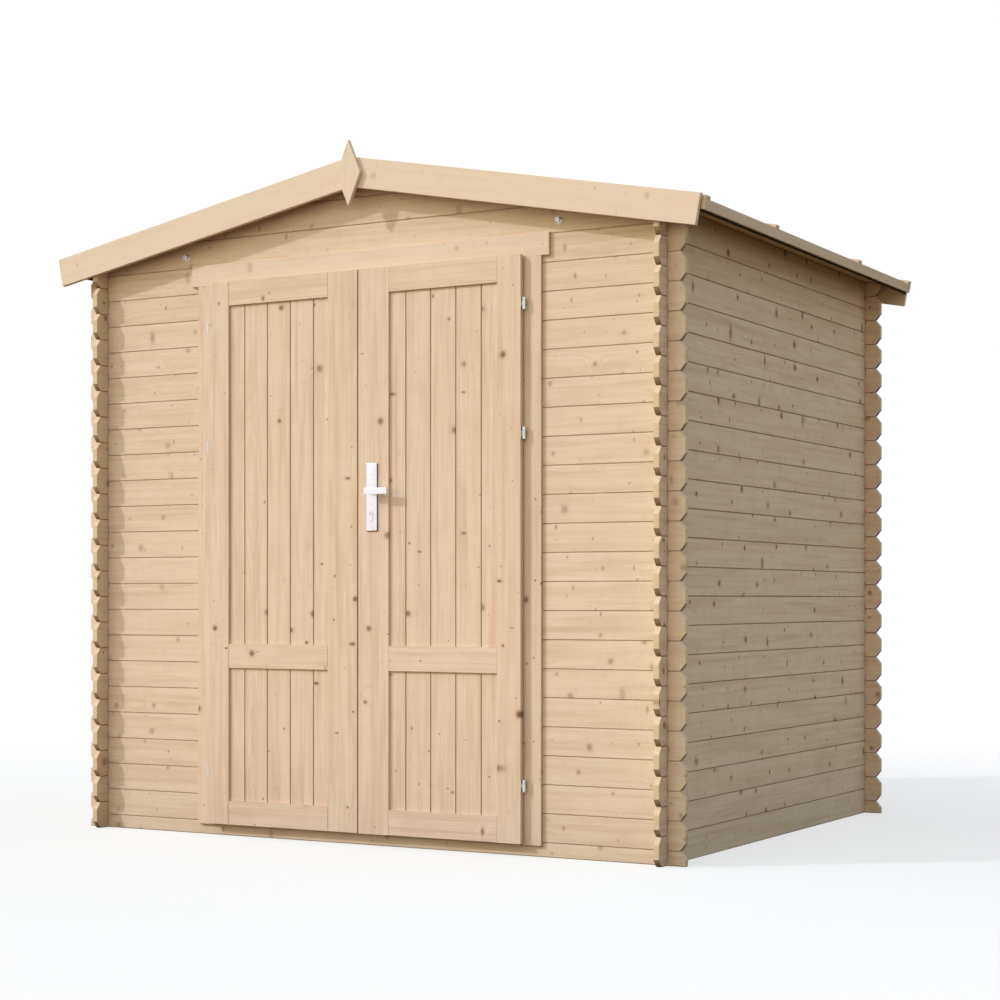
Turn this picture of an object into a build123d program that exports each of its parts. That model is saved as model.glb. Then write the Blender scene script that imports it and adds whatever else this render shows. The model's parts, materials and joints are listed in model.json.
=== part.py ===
from build123d import *
import math
import os

# A garden shed of stacked logs that cross at the corners, with a shallow gable roof and a double door.
# Millimetres. The origin is on the ground in the middle of the walls, +Z up, and the door faces -Y.

# Log walls
wall_width = 2130  # between the outer faces of the two side walls
wall_depth = 1746  # between the outer faces of the front and back walls
log_height = 88
log_thick = 19
log_tail = 58  # a log runs on this far past the wall that it crosses
tail_bevel_length = 18.5
tail_bevel_height = 23
notch_play = 0.3
side_courses = 22
door_courses = 20  # logs that the doorway interrupts
notch_share = 0.25  # depth of each notch, of the log's height
least_log_share = 0.25  # a lower remainder under the ridge joins the log below it

# Roof
roof_pitch = 10.8  # degrees
eaves_rise = 10.6  # of the top side log past its full height, at the outer face
eaves_overhang = 131
deck_thick = 16
felt_thick = 2
felt_drip = 7  # of felt below the eaves strip
strip_thick = 13
strip_height = 31
batten_width = 31
batten_height = 10
batten_place_shares = (-0.5, -0.208, 0.208, 0.5)  # of the room that the outer battens leave
barge_thick = 16
barge_width = 94
barge_rise = 13.5  # of the bargeboard above the felt
finial_width = 90
finial_height = 210
finial_thick = 14
finial_drop = 54  # from the top of the bargeboards to the middle of the finial
purlin_width = 44
purlin_depth = 140
side_purlin_place = 705  # from the ridge

# Doorway
doorway_width = 1140  # between the two jambs
trim_thick = 11  # of the jambs' outer flanges and the header, which the doors close on
jamb_inner_thick = 19
jamb_web = 20
jamb_outer_flange = 80
jamb_inner_flange = 60
jamb_foot_lap = 10  # of the flanges over the sill log
jamb_head_lap = 22  # of the flanges over the log above the doorway
groove_play = 2
header_overhang = 27  # past the jamb
header_height = 70

# Doors
door_lap = 20  # over the jambs
door_foot_lap = 5  # over the sill log
door_head_lap = 5  # over the header
door_clearance = 5
door_thick = 16
hinge_stile = 82
meeting_stile = 113
rail_height = 80
middle_rail_place = 557  # from the foot of the door to the middle of the rail
board_recess = 8
board_thick = 12
board_width = 91
board_count = 5
board_lap = 12  # of the boards behind the frame
board_play = 0.3
groove_depth = 3

# Hinges
hinge_place_shares = (0.0987, 0.6975, 0.9172)  # of the door's height
hinge_height = 37
knuckle_radius = 5.5
pin_radius = 2.2
pin_play = 0.3
hinge_axis_gap = 8  # from the edge of the door
hinge_leaf = 22
hinge_plate = 1
hinge_neck = 3
knuckle_share = 0.4  # of the hinge, for the knuckle on the door

# Handle
plate_width = 39
plate_height = 214
plate_thick = 7
plate_corner = 2
plate_bevel = 1
handle_inset = 53  # from the meeting edge to the spindle
plate_place = 961  # from the foot of the door to the foot of the plate
spindle_place = 124  # from the foot of the plate
spindle_radius = 4
spindle_play = 0.4
boss_radius = 9
lever_gap = 17  # from the plate to the lever
lever_length = 85
lever_heel = 12  # of the lever's length, behind the spindle
lever_height = 21
lever_thick = 10
lever_corner = 4
lever_bevel = 1.5

cut_overrun = 40

# Worked out from the sizes above
half_log = log_height / 2
notch_depth = log_height * notch_share
half_width = wall_width / 2
half_depth = wall_depth / 2
front_face = -half_depth
front_inside = front_face + log_thick
tail_x = half_width + log_tail
tail_y = half_depth + log_tail
slope = math.tan(math.radians(roof_pitch))
ridge = side_courses * log_height + eaves_rise + half_width * slope
gable_courses = math.floor((ridge - half_log) / log_height + 1 - least_log_share)
doorway_foot = half_log
doorway_top = half_log + door_courses * log_height
half_doorway = doorway_width / 2

deck_edge = (half_width + eaves_overhang) / math.cos(math.radians(roof_pitch))
felt_edge = deck_edge + felt_thick
strip_edge = felt_edge + strip_thick
felt_top = deck_thick + felt_thick
strip_foot = felt_top - strip_height
barge_head = felt_top + barge_rise
ridge_overrun = barge_width
barge_face = -tail_y - barge_thick

jamb_face = front_face - trim_thick
header_foot = doorway_top + jamb_head_lap
header_head = header_foot + header_height
door_back = jamb_face - door_clearance
door_face = door_back - door_thick
board_face = door_face + board_recess
door_foot = doorway_foot - door_foot_lap
door_head = header_foot + door_head_lap
door_height = door_head - door_foot
door_inner = door_clearance / 2
door_outer = half_doorway + door_lap
panel_inner = door_inner + meeting_stile - board_lap
panel_outer = door_outer - hinge_stile + board_lap
panel_foot = door_foot + rail_height - board_lap
panel_head = door_head - rail_height + board_lap

hinge_x = door_outer + hinge_axis_gap
hinge_y = (door_face + door_back) / 2
handle_x = door_inner + handle_inset
plate_foot = door_foot + plate_place
spindle_z = plate_foot + spindle_place


def block(left, right, front, back, foot, head):
    """A box between two corners."""
    middle = Pos((left + right) / 2, (front + back) / 2, (foot + head) / 2)
    return middle * Box(right - left, back - front, head - foot)


def rod(x, front, back, z, radius):
    """A round bar that runs from front to back."""
    return Pos(x, (front + back) / 2, z) * (Rotation(90, 0, 0) * Cylinder(radius, back - front))


def pin(x, y, foot, head, radius):
    """A round bar that stands upright."""
    return Pos(x, y, (foot + head) / 2) * Cylinder(radius, head - foot)


def board_across(outline, front, back):
    """A board that runs left to right, from its outline in X and Z."""
    face = make_face(Polyline(*outline, close=True))
    return extrude(Plane.XZ.offset(-back) * face, back - front)


def board_along(outline, left, right):
    """A board that runs front to back, from its outline in Y and Z."""
    face = make_face(Polyline(*outline, close=True))
    return extrude(Plane.YZ.offset(left) * face, right - left)


def roof_height(x):
    """Underside of the roof deck above a place in the shed's width."""
    return ridge - abs(x) * slope


def under_roof():
    """The room below the roof deck, which trims whatever carries it."""
    reach = tail_x + cut_overrun
    end = tail_y + cut_overrun
    eaves = roof_height(reach)
    outline = [(-reach, 0), (reach, 0), (reach, eaves), (0, ridge), (-reach, eaves)]
    return board_across(outline, -end, end)


roof_room = under_roof()


def trimmed(piece):
    """A piece cut off at the underside of the roof deck."""
    return (piece & roof_room).solid()


def log_end(place, inward, low, high, bevel_low, bevel_high):
    """Corners of one end of a log, from its lower edge to its upper edge."""
    corners = []
    if bevel_low:
        corners.append((place + inward * tail_bevel_length, low))
        corners.append((place, low + tail_bevel_height))
    else:
        corners.append((place, low))
    if bevel_high:
        corners.append((place, high - tail_bevel_height))
        corners.append((place + inward * tail_bevel_length, high))
    else:
        corners.append((place, high))
    return corners


def notch(centre, edge, seat):
    """Corners of the notch for a crossing log, from left to right."""
    reach = log_thick / 2 + notch_play
    left = centre - reach
    right = centre + reach
    return [(left, edge), (left, seat), (right, seat), (right, edge)]


def log_outline(ends, tails, crossings, low, high, seats, sawn_low=False, sawn_high=False):
    """Side view of one log, notched above and below each crossing and bevelled at its free tails."""
    low_seat, high_seat = seats
    lower = []
    upper = []
    for centre in crossings:
        if low_seat > low:
            lower += notch(centre, low, low_seat)
        if high_seat < high:
            upper += notch(centre, high, high_seat)
    start = log_end(ends[0], 1, low, high, tails[0] and not sawn_low, tails[0] and not sawn_high)
    end = log_end(ends[1], -1, low, high, tails[1] and not sawn_low, tails[1] and not sawn_high)
    return lower + end + upper[::-1] + start[::-1]


def side_log(course, left):
    """One log of a side wall, whose outer or inner face is at left."""
    low = course * log_height
    high = low + log_height
    seats = (low + notch_depth, high - notch_depth)
    crossing = half_depth - log_thick / 2
    top = course == side_courses - 1
    if top:
        high = roof_height(half_width - log_thick) + cut_overrun
    outline = log_outline((-tail_y, tail_y), (True, True), (-crossing, crossing), low, high, seats,
                          sawn_high=top)
    log = board_along(outline, left, left + log_thick)
    if top:
        return trimmed(log)
    return log.solid()


def cross_log(course, ends, tails, crossings, front):
    """One log of the front or back wall. Course 0 is the half log on the ground."""
    low = half_log + (course - 1) * log_height
    high = low + log_height
    seats = (low + notch_depth, high - notch_depth)
    on_ground = course == 0
    if on_ground:
        low = 0
        seats = (low, high - notch_depth)
    if course >= side_courses:
        seats = (low + notch_depth, high)
    if course > side_courses:
        crossings = ()
    top = course == gable_courses
    if top:
        high = ridge + cut_overrun
    outline = log_outline(ends, tails, crossings, low, high, seats, sawn_low=on_ground, sawn_high=top)
    log = board_across(outline, front, front + log_thick)
    if high > roof_height(tail_x):
        return trimmed(log)
    return log.solid()


def whole_log(course, front):
    """A log across the whole width of the shed."""
    crossing = half_width - log_thick / 2
    return cross_log(course, (-tail_x, tail_x), (True, True), (-crossing, crossing), front)


def left_of_door_log(course):
    """A log of the front wall from the left tail into the groove of the left jamb."""
    crossing = half_width - log_thick / 2
    end = half_doorway + jamb_web + groove_play
    return cross_log(course, (-tail_x, -end), (True, False), (-crossing,), front_face)


def right_of_door_log(course):
    """A log of the front wall from the groove of the right jamb to the right tail."""
    return mirror(left_of_door_log(course), about=Plane.YZ).solid()


def odd_and_even(name, courses, make_log):
    """Two groups of logs, so that the logs of one group never touch each other."""
    odd = []
    even = []
    for course in courses:
        if course % 2:
            odd.append(make_log(course))
        else:
            even.append(make_log(course))
    return {f"{name}_odd_logs": odd, f"{name}_even_logs": even}


def log_walls():
    """The four walls, log by log."""
    walls = {}
    side = range(side_courses)
    walls.update(odd_and_even("left_wall", side, lambda course: side_log(course, -half_width)))
    walls.update(odd_and_even("right_wall", side, lambda course: side_log(course, half_width - log_thick)))
    back = range(gable_courses + 1)
    walls.update(odd_and_even("back_wall", back, lambda course: whole_log(course, half_depth - log_thick)))
    beside_door = range(1, door_courses + 1)
    walls.update(odd_and_even("front_left", beside_door, left_of_door_log))
    walls.update(odd_and_even("front_right", beside_door, right_of_door_log))
    over_door = range(door_courses + 1, gable_courses + 1)
    walls.update(odd_and_even("front_gable", over_door, lambda course: whole_log(course, front_face)))
    walls["front_sill_log"] = [whole_log(0, front_face)]
    return walls


def on_slope(near, far, front, back, foot, head):
    """A flat piece on the right slope: near and far run down from the ridge, foot and head square to it."""
    piece = block(near, far, front, back, foot, head)
    return Pos(0, 0, ridge) * (Rotation(0, roof_pitch, 0) * piece)


def from_ridge(far, front, back, foot, head):
    """A piece on the right slope that starts with an upright cut at the ridge."""
    piece = on_slope(-ridge_overrun, far, front, back, foot, head)
    left_half = block(-strip_edge, 0, front - cut_overrun, back + cut_overrun, 0, ridge + barge_width)
    return (piece - left_half).solid()


def right_felt():
    """Felt over the deck, turned down over its lower edge."""
    sheet = from_ridge(felt_edge, -tail_y, tail_y, deck_thick, felt_top)
    apron = on_slope(deck_edge, felt_edge, -tail_y, tail_y, strip_foot - felt_drip, deck_thick)
    return (sheet + apron).solid()


def right_battens():
    """Strips from ridge to eaves that hold the felt down."""
    room = tail_y * 2 - batten_width
    battens = []
    for share in batten_place_shares:
        middle = share * room
        front = middle - batten_width / 2
        back = front + batten_width
        battens.append(from_ridge(strip_edge, front, back, felt_top, felt_top + batten_height))
    return battens


def right_barge(front):
    """A bargeboard from the ridge to the eaves strip, its lower end square to the slope."""
    return from_ridge(felt_edge, front, front + barge_thick, barge_head - barge_width, barge_head)


def finial(front):
    """A diamond over the joint of two bargeboards."""
    top = ridge + barge_head / math.cos(math.radians(roof_pitch))
    middle = top - finial_drop
    side = finial_width / 2
    tip = finial_height / 2
    outline = [(0, middle - tip), (side, middle), (0, middle + tip), (-side, middle)]
    return board_across(outline, front, front + finial_thick).solid()


def purlin(centre):
    """A beam between the gables, its top planed to the roof."""
    left = centre - purlin_width / 2
    foot = roof_height(centre) - purlin_depth
    return trimmed(block(left, left + purlin_width, front_inside, -front_inside, foot, ridge + cut_overrun))


def mirrored(solids):
    """The same solids on the other side of the ridge."""
    return [mirror(solid, about=Plane.YZ).solid() for solid in solids]


def roof():
    """Beams, deck, felt, strips, bargeboards and finials."""
    pieces = {}
    pieces["ridge_purlin"] = [purlin(0)]
    pieces["side_purlins"] = [purlin(-side_purlin_place), purlin(side_purlin_place)]
    right = {
        "roof_deck": [from_ridge(deck_edge, -tail_y, tail_y, 0, deck_thick)],
        "roof_felt": [right_felt()],
        "eaves_strip": [on_slope(felt_edge, strip_edge, -tail_y, tail_y, strip_foot, felt_top).solid()],
        "felt_battens": right_battens(),
        "front_barge": [right_barge(barge_face)],
        "back_barge": [right_barge(tail_y)],
    }
    for name, solids in right.items():
        pieces[f"right_{name}"] = solids
        pieces[f"left_{name}"] = mirrored(solids)
    pieces["front_finial"] = [finial(barge_face - finial_thick)]
    pieces["back_finial"] = [finial(tail_y + barge_thick)]
    return pieces


def right_jamb():
    """A grooved post that takes the ends of the logs beside the doorway."""
    web_end = half_doorway + jamb_web
    outer_end = half_doorway + jamb_outer_flange
    inner_end = half_doorway + jamb_inner_flange
    inside = front_inside + jamb_inner_thick
    foot = doorway_foot - jamb_foot_lap
    outer = block(half_doorway, outer_end, jamb_face, front_face, foot, header_foot)
    inner = block(half_doorway, inner_end, front_inside, inside, foot, header_foot)
    web = block(half_doorway, web_end, front_face, front_inside, doorway_foot, doorway_top)
    return (outer + web + inner).solid()


def header():
    """The board over the doorway, on the heads of the jambs."""
    end = half_doorway + jamb_outer_flange + header_overhang
    return block(-end, end, jamb_face, front_face, header_foot, header_head).solid()


def panel_room():
    """The recess in the back of the door frame that the boards lie in."""
    return block(panel_inner - board_play, panel_outer + board_play, board_face, door_back + cut_overrun,
                 panel_foot - board_play, panel_head + board_play)


def right_boards():
    """The boards of the right door as one panel, with a V joint between each two."""
    middle = (panel_inner + panel_outer) / 2
    first = middle - board_width * (board_count - 2) / 2
    outline = [(panel_inner, board_face)]
    for joint in range(board_count - 1):
        x = first + joint * board_width
        outline.append((x - groove_depth, board_face))
        outline.append((x, board_face + groove_depth))
        outline.append((x + groove_depth, board_face))
    outline.append((panel_outer, board_face))
    outline.append((panel_outer, board_face + board_thick))
    outline.append((panel_inner, board_face + board_thick))
    section = make_face(Polyline(*outline, close=True))
    return extrude(Plane.XY.offset(panel_foot) * section, panel_head - panel_foot).solid()


def right_stiles():
    """The two uprights of the right door: the one on the hinges, then the one at the meeting edge."""
    room = panel_room()
    hinge_side = block(door_outer - hinge_stile, door_outer, door_face, door_back, door_foot, door_head)
    meeting = block(door_inner, door_inner + meeting_stile, door_face, door_back, door_foot, door_head)
    return [(hinge_side - room).solid(), (meeting - room).solid()]


def right_rails():
    """The three cross rails of the right door. The middle one lies on the boards."""
    room = panel_room()
    left = door_inner + meeting_stile
    right = door_outer - hinge_stile
    feet = (door_foot, door_foot + middle_rail_place - rail_height / 2, door_head - rail_height)
    rails = []
    for foot in feet:
        rail = block(left, right, door_face, door_back, foot, foot + rail_height)
        rails.append((rail - room).solid())
    return rails


def spindle_hole():
    """The hole for the handle's spindle through the meeting stile and the plates."""
    return rod(handle_x, door_face - cut_overrun, door_back + cut_overrun, spindle_z,
               spindle_radius + spindle_play)


def hinge_feet():
    """Lower ends of the hinges of one door."""
    return [door_foot + share * door_height - hinge_height / 2 for share in hinge_place_shares]


def hinge_on_jamb(foot):
    """The half of a hinge that stays on the jamb: a leaf behind the door, two knuckles and the pin."""
    head = foot + hinge_height
    outer_knuckle = hinge_height * (1 - knuckle_share) / 2
    neck_left = hinge_x - hinge_neck / 2
    neck_right = neck_left + hinge_neck
    half = pin(hinge_x, hinge_y, foot, head, pin_radius)
    half += block(neck_left - hinge_leaf, neck_right, jamb_face - hinge_plate, jamb_face, foot, head)
    for low in (foot, head - outer_knuckle):
        high = low + outer_knuckle
        half += pin(hinge_x, hinge_y, low, high, knuckle_radius)
        half += block(neck_left, neck_right, hinge_y, jamb_face, low, high)
    return half.solid()


def hinge_on_door(foot):
    """The half of a hinge that swings: a leaf on the door's edge and the middle knuckle."""
    head = foot + hinge_height
    outer_knuckle = hinge_height * (1 - knuckle_share) / 2
    low = foot + outer_knuckle + pin_play
    high = head - outer_knuckle - pin_play
    half = block(door_outer, door_outer + hinge_plate, door_face, door_back, foot, head)
    half += block(door_outer, hinge_x, hinge_y - hinge_neck / 2, hinge_y + hinge_neck / 2, low, high)
    half += pin(hinge_x, hinge_y, low, high, knuckle_radius)
    half -= pin(hinge_x, hinge_y, foot, head, pin_radius + pin_play)
    return half.solid()


def handle_plate(front, shown_face):
    """A long plate with eased corners. Its shown face has a bevelled edge."""
    middle = Pos(handle_x, 0, plate_foot + plate_height / 2)
    face = RectangleRounded(plate_width, plate_height, plate_corner)
    plate = extrude(middle * (Plane.XZ.offset(-front - plate_thick) * face), plate_thick)
    rim = plate.faces().filter_by(Axis.Y).sort_by(Axis.Y)[shown_face].edges()
    return (chamfer(rim, plate_bevel) - spindle_hole()).solid()


def lever_arm(front):
    """A flat bar that points away from the meeting edge, with eased corners and bevelled rims."""
    middle = Pos(handle_x + lever_length / 2 - lever_heel, 0, spindle_z)
    face = RectangleRounded(lever_length, lever_height, lever_corner)
    arm = extrude(middle * (Plane.XZ.offset(-front - lever_thick) * face), lever_thick)
    rims = arm.faces().filter_by(Axis.Y).edges()
    return chamfer(rims, lever_bevel)


def lever_handle():
    """Two levers, one each side of the door, on one spindle."""
    outer_plate = door_face - plate_thick
    inner_plate = door_back + plate_thick
    outer_arm = outer_plate - lever_gap - lever_thick
    inner_arm = inner_plate + lever_gap
    outer_seat = outer_arm + lever_thick / 2
    inner_seat = inner_arm + lever_thick / 2
    handle = rod(handle_x, outer_seat, inner_seat, spindle_z, spindle_radius)
    handle += rod(handle_x, outer_seat, outer_plate - spindle_play, spindle_z, boss_radius)
    handle += rod(handle_x, inner_plate + spindle_play, inner_seat, spindle_z, boss_radius)
    handle += lever_arm(outer_arm)
    handle += lever_arm(inner_arm)
    return handle.solid()


def doorway():
    """Jambs, header, both doors, their hinges and the handle."""
    hinge_side, meeting = right_stiles()
    feet = hinge_feet()
    jamb_halves = [hinge_on_jamb(foot) for foot in feet]
    door_halves = [hinge_on_door(foot) for foot in feet]
    boards = [right_boards()]
    rails = right_rails()
    return {
        "right_jamb": [right_jamb()],
        "left_jamb": mirrored([right_jamb()]),
        "door_header": [header()],
        "right_door_stiles": [hinge_side, (meeting - spindle_hole()).solid()],
        "left_door_stiles": mirrored([hinge_side, meeting]),
        "right_door_rails": rails,
        "left_door_rails": mirrored(rails),
        "right_door_boards": boards,
        "left_door_boards": mirrored(boards),
        "right_jamb_hinges": jamb_halves,
        "left_jamb_hinges": mirrored(jamb_halves),
        "right_door_hinges": door_halves,
        "left_door_hinges": mirrored(door_halves),
        "outer_handle_plate": [handle_plate(door_face - plate_thick, 0)],
        "inner_handle_plate": [handle_plate(door_back, -1)],
        "lever_handle": [lever_handle()],
    }


def main():
    """Write one file for each named sub-part."""
    os.makedirs("parts", exist_ok=True)
    nodes = {**log_walls(), **roof(), **doorway()}
    for name, solids in nodes.items():
        export_step(Compound(solids), f"parts/{name}.step")


main()
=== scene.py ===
"""The look of a log-built garden shed: boards with grain and knots, felt, hinges and a handle."""

import json
import math
import random

import bmesh
import bpy
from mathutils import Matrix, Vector


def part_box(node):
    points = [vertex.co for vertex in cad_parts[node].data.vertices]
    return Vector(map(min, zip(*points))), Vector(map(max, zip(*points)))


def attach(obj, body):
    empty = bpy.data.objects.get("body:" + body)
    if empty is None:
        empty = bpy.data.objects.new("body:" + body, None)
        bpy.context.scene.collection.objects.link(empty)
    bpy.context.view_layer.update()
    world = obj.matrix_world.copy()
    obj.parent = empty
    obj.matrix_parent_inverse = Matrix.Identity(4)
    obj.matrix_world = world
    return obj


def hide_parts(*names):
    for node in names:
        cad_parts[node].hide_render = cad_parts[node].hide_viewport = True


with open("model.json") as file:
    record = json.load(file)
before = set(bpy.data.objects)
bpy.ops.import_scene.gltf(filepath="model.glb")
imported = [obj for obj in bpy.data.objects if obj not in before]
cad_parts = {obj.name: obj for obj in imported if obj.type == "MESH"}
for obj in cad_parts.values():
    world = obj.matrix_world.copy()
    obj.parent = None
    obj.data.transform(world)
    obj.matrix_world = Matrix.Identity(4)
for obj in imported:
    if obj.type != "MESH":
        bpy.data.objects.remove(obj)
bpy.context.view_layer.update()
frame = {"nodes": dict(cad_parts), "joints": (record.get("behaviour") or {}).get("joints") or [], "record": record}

bl_info = {
    "name": "Log-built garden shed",
    "version": (1, 0, 0),
    "blender": (4, 5, 0),
    "location": "3D View > Sidebar > Shed",
    "description": "Dresses the frame of a garden shed with boards, roofing, door furniture and a stage",
    "category": "Object",
}

RIGHT = Vector((1, 0, 0))
BACK = Vector((0, 1, 0))
UP = Vector((0, 0, 1))
WELD = 1e-5
FLAT = math.radians(0.5)
SHARP = math.radians(50)
SMOOTH = math.radians(35)
SIDES = ("left", "right")
SIGN = {"left": -1, "right": 1}
END_ZONE = 0.015
# Shares of the full painted joint shade: deep in a long joint, and at the tip of a log's lower bevel, where it is
# painted shade on a downward-facing face
LONG_JOINT = 0.75
PAINTED_BEVEL_SHADE = 0.3


# Sizes and colours that a user would change

def colour(name, description, *rgb):
    return bpy.props.FloatVectorProperty(
        name=name, description=description, subtype="COLOR", size=3, min=0, max=1, default=rgb)


def size(name, description, metres):
    return bpy.props.FloatProperty(
        name=name, description=description, unit="LENGTH", min=0, precision=4, default=metres)


class ShedWood(bpy.types.PropertyGroup):
    """Pine of the walls, doors and roof."""
    early_wood: colour("Early wood", "Pale part of each ring", 0.82, 0.665, 0.50)
    late_wood: colour("Late wood", "Darker line that ends each ring", 0.64, 0.46, 0.30)
    heart_wood: colour("Heart wood", "Warm wood in streaks along the grain", 0.62, 0.44, 0.29)
    pink_wood: colour("Pink wood", "Patches near knots and heart wood", 0.74, 0.545, 0.40)
    pale_wood: colour("Pale wood", "Sapwood of the bargeboards and the header", 0.785, 0.635, 0.485)
    end_wood: colour("End wood", "End grain, yellower than the faces", 0.68, 0.51, 0.27)
    yellow_board: colour("Yellow board", "Tint of the yellowest boards", 0.975, 0.96, 0.90)
    pink_board: colour("Pink board", "Tint of the pinkest boards", 1.0, 0.96, 0.93)
    knot: colour("Knot", "Middle of a knot", 0.205, 0.10, 0.05)
    knot_rim: colour("Knot rim", "Reddish wood round the middle of a knot", 0.40, 0.25, 0.155)
    knot_halo: colour("Knot halo", "Resin in the wood round a knot", 0.60, 0.42, 0.275)
    # Partly dark wood in the joints and partly painted shade: it darkens the depth of each joint and the downward
    # bevels of log ends
    painted_joint_shade: colour("Joint", "Depth of a joint between boards", 0.15, 0.08, 0.038)
    ring_width: size("Ring width", "Width of one year's ring", 0.0034)
    log_joint: size("Log joint", "Bevel on the long edges of a log", 0.0026)
    notch_joint: size("Notch joint", "Bevel on the upright edges where logs cross", 0.0028)
    board_joint: size("Board joint", "Bevel on the long edges of a tongued board", 0.0026)
    eased_edge: size("Eased edge", "Rounding of a planed edge", 0.0010)
    deck_board: size("Deck board", "Width of a roof board", 0.0955)


class ShedRoofing(bpy.types.PropertyGroup):
    """Felt on the roof."""
    felt: colour("Felt", "Bitumen between the granules", 0.024, 0.018, 0.012)
    granule: colour("Granule", "Slate granules on the felt", 0.085, 0.080, 0.074)
    sheet: size("Sheet", "Thickness of one layer of felt", 0.0015)
    course: size("Course", "Width of the upper course of felt, from the ridge", 0.66)
    ridge_cap: size("Ridge cap", "Width of the cap on each side of the ridge", 0.17)


class ShedMetal(bpy.types.PropertyGroup):
    """Hinges, handle, bolts and nails."""
    aluminium: colour("Aluminium", "Satin metal of the handle", 0.90, 0.88, 0.88)
    zinc: colour("Zinc", "Plated steel of the hinges and bolts", 0.68, 0.67, 0.65)
    nail: colour("Nail", "Nail heads", 0.22, 0.19, 0.16)
    # Painted shade: the dark key slot, the dark gap round the lock cylinder, and the dark layer under the handle's
    # plate for its shaded sides and shadow
    key_slot: colour("Key slot", "Shade in the key slot and behind the plate", 0.06, 0.038, 0.024)
    nail_radius: size("Nail radius", "Radius of a nail's head", 0.0018)
    bolt_radius: size("Bolt radius", "Radius of a bolt's head on the gable", 0.0085)
    bolt_height: size("Bolt height", "How far a bolt stands out of the gable", 0.014)
    washer_radius: size("Washer radius", "Radius of the washer under a bolt", 0.0110)
    lever_thick: size("Lever thickness", "Thickness of each lever's bar", 0.010)
    lever_corner: size("Lever corner", "Rounding of the corners of each lever's bar", 0.004)
    lever_round: size("Lever rounding", "Rounding of the lever's edges", 0.0018)
    plate_corner: size("Plate corner", "Rounding of the plate's corners", 0.002)
    plate_border: size("Plate border", "Lower border of the handle's plate", 0.0070)


class ShedStage(bpy.types.PropertyGroup):
    """Camera, light and floor."""
    eye: bpy.props.FloatVectorProperty(
        name="Eye", description="Place of the camera", subtype="TRANSLATION", size=3,
        default=(3.5968, -6.3743, 0.7841))
    heading: bpy.props.FloatProperty(
        name="Heading", description="Turn of the camera to the left of straight at the doors",
        subtype="ANGLE", default=math.radians(29.37))
    lens: bpy.props.FloatProperty(name="Lens", description="Focal length", unit="CAMERA", default=73.99)
    horizon: bpy.props.FloatProperty(
        name="Horizon", description="How far the horizon lies below the middle, as a share of the picture",
        subtype="FACTOR", default=0.0989)
    sun_travel: bpy.props.FloatVectorProperty(
        name="Sun", description="The way the key light travels", subtype="DIRECTION", size=3,
        default=(0.674, 0.539, -0.505))
    sun_power: bpy.props.FloatProperty(
        name="Key light", description="Strength of the key light", default=1.68)
    sun_spread: bpy.props.FloatProperty(
        name="Key softness", description="Angle that the key light fills", subtype="ANGLE",
        default=math.radians(2.5))
    sun_colour: colour("Key colour", "Colour of the key light", 0.88, 0.88, 1.0)
    warm_from: bpy.props.FloatVectorProperty(
        name="Warm from", description="Where the warm fill stands", subtype="DIRECTION", size=3,
        default=(-0.62, -0.76, 0.10))
    cool_from: bpy.props.FloatVectorProperty(
        name="Cool from", description="Where the cool fill stands", subtype="DIRECTION", size=3,
        default=(0.80, 0.58, 0.06))
    warm_fill: colour("Warm fill", "Light from the front left", 0.89, 0.92, 0.85)
    cool_fill: colour("Cool fill", "Light from the back right", 0.44, 0.52, 0.615)
    plain_fill: colour("Plain fill", "Light from between the two", 0.15, 0.15, 0.15)
    horizon_tint: colour("Horizon tint", "Tint of the fill that stands low", 1.0, 0.876, 0.667)
    zenith_tint: colour("Zenith tint", "Tint of the fill that stands high", 0.714, 0.81, 0.952)
    low_fill: colour("Low fill", "Light from below the floor's edge", 0.048, 0.038, 0.024)
    fill_power: bpy.props.FloatProperty(name="Fill", description="Strength of all the fill", default=2.1)
    floor: colour("Floor", "Pale floor", 0.90, 0.87, 0.83)
    bounce: colour("Bounce", "Share of the light that the floor throws back at the walls", 0.10, 0.075, 0.045)
    floor_glow: bpy.props.FloatProperty(
        name="Floor glow", description="Share of plain white in the floor that the camera sees",
        subtype="FACTOR", default=0.6)
    floor_radius: size("Floor radius", "Where the floor has faded into the background", 5.0)


# Shader maths

class Value:
    """One number of a shader. Python's operators on it add Math nodes to its graph."""

    def __init__(self, graph, socket):
        self.graph = graph
        self.socket = socket

    def __add__(self, other):
        return self.graph.math("ADD", self, other)

    def __radd__(self, other):
        return self.graph.math("ADD", other, self)

    def __sub__(self, other):
        return self.graph.math("SUBTRACT", self, other)

    def __rsub__(self, other):
        return self.graph.math("SUBTRACT", other, self)

    def __mul__(self, other):
        return self.graph.math("MULTIPLY", self, other)

    def __rmul__(self, other):
        return self.graph.math("MULTIPLY", other, self)

    def __truediv__(self, other):
        return self.graph.math("DIVIDE", self, other)

    def __rtruediv__(self, other):
        return self.graph.math("DIVIDE", other, self)

    def __pow__(self, other):
        return self.graph.math("POWER", self, other)

    def __gt__(self, other):
        return self.graph.math("GREATER_THAN", self, other)

    def __lt__(self, other):
        return self.graph.math("LESS_THAN", self, other)


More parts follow.
